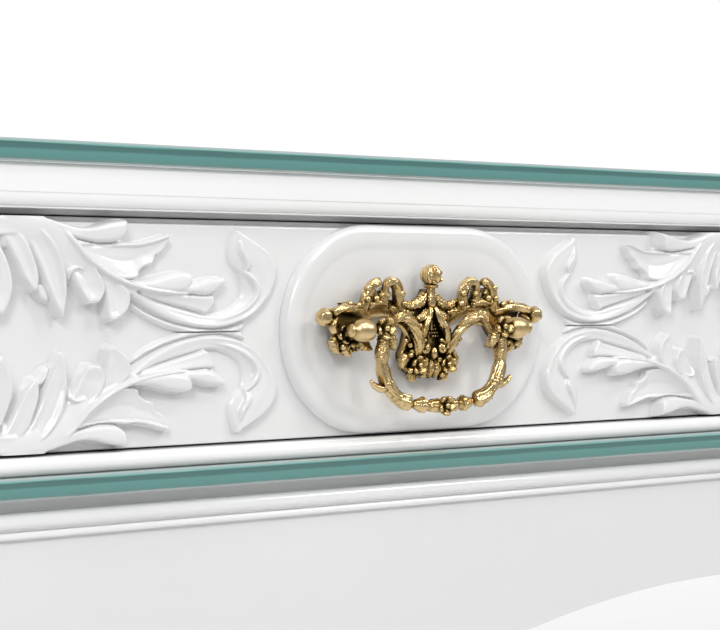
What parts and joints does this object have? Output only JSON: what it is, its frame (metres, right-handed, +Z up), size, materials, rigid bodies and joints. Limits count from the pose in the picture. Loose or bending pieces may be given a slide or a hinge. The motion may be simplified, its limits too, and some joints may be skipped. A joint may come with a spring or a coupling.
{
  "type": "dressing table",
  "caption": "White lacquered dressing table on cabriole legs, with glass plates, a carved drawer front, an oval pad with a cast bail pull and a tilting oval mirror.",
  "frame": {"origin": "on the floor, below the middle of the whole table with its pull and mirror post", "axes": "+X to the right seen from the front, -Y towards the person at the table, +Z up"},
  "size_m": [0.766, 0.5045, 1.544],
  "materials": {
    "glass": "clear polished float glass",
    "white_lacquer": "white high-gloss lacquer on wood",
    "board": "white coated board",
    "steel": "zinc plated",
    "antique_brass": "aged gold with dark hollows",
    "looking_glass": "silvered",
    "backing": "grey board",
    "white_steel": "white powder coat",
    "nylon": "moulded"
  },
  "bodies": {
    "table": {"apron_back": "white_lacquer", "apron_front": "white_lacquer", "apron_moulding": "white_lacquer", "apron_side_left": "white_lacquer", "apron_side_right": "white_lacquer", "bottom_board": "white_lacquer", "case_back": "board", "case_bolts": "steel", "case_side_left": "white_lacquer", "case_side_right": "white_lacquer", "column_screws": "steel", "column_spacers": "white_lacquer", "corner_brackets": "steel", "foot_glides": "nylon", "glass_lower": "glass", "glass_top": "glass", "hinge_head": "steel", "hinge_pin": "steel", "leg_back_left": "white_lacquer", "leg_back_right": "white_lacquer", "leg_front_left": "white_lacquer", "leg_front_right": "white_lacquer", "mirror_column": "white_steel", "partition_left": "board", "partition_right": "board", "slide_outer_left": "steel", "slide_outer_right": "steel", "stile_left": "white_lacquer", "stile_right": "white_lacquer", "stile_rosette_left": "white_lacquer", "stile_rosette_right": "white_lacquer", "subtop_board": "white_lacquer", "top_board": "white_lacquer"},
    "drawer": {"drawer_front": "white_lacquer", "drawer_back": "board", "drawer_bottom": "board", "pull_backplate": "antique_brass", "pull_nuts": "antique_brass", "drawer_side_right": "board", "drawer_side_left": "board", "slide_inner_right": "steel", "slide_inner_left": "steel", "pull_post_right": "antique_brass", "pull_post_left": "antique_brass", "leaf_upper_right": "white_lacquer", "leaf_upper_left": "white_lacquer", "leaf_lower_right": "white_lacquer", "leaf_lower_left": "white_lacquer"},
    "slide_members": {"slide_middle_right": "steel", "slide_middle_left": "steel"},
    "bail": {"bail": "antique_brass"},
    "mirror": {"mirror_frame": "white_lacquer", "mirror_glass": "looking_glass", "mirror_backboard": "backing", "mirror_crest": "white_lacquer", "hinge_plate": "steel"},
    "knob_right": {"tilt_knob_right": "antique_brass"},
    "knob_left": {"tilt_knob_left": "antique_brass"}
  },
  "joints": [
    {"name": "drawer_slide", "type": "slide", "parent": "table", "child": "drawer", "axis": [0, -1, 0], "range_m": [0, 0.34]},
    {"name": "slide_member_travel", "type": "slide", "parent": "table", "child": "slide_members", "axis": [0, -1, 0], "range_m": [0, 0.17]},
    {"name": "bail_swing", "type": "hinge", "parent": "drawer", "child": "bail", "pos_m": [0, -0.2475, 0.71145], "axis": [-1, 0, 0], "range_deg": [0, 90]},
    {"name": "mirror_tilt", "type": "hinge", "parent": "table", "child": "mirror", "pos_m": [0, 0.224, 1.197], "axis": [1, 0, 0], "range_deg": [-20, 6]},
    {"name": "knob_right_turn", "type": "hinge", "parent": "table", "child": "knob_right", "pos_m": [0.028, 0.224, 1.197], "axis": [1, 0, 0], "range_deg": [-90, 90]},
    {"name": "knob_left_turn", "type": "hinge", "parent": "table", "child": "knob_left", "pos_m": [-0.028, 0.224, 1.197], "axis": [1, 0, 0], "range_deg": [-90, 90]}
  ],
  "couplings": [
    {"joint": "slide_member_travel", "follows": "drawer_slide", "ratio": 0.5}
  ]
}
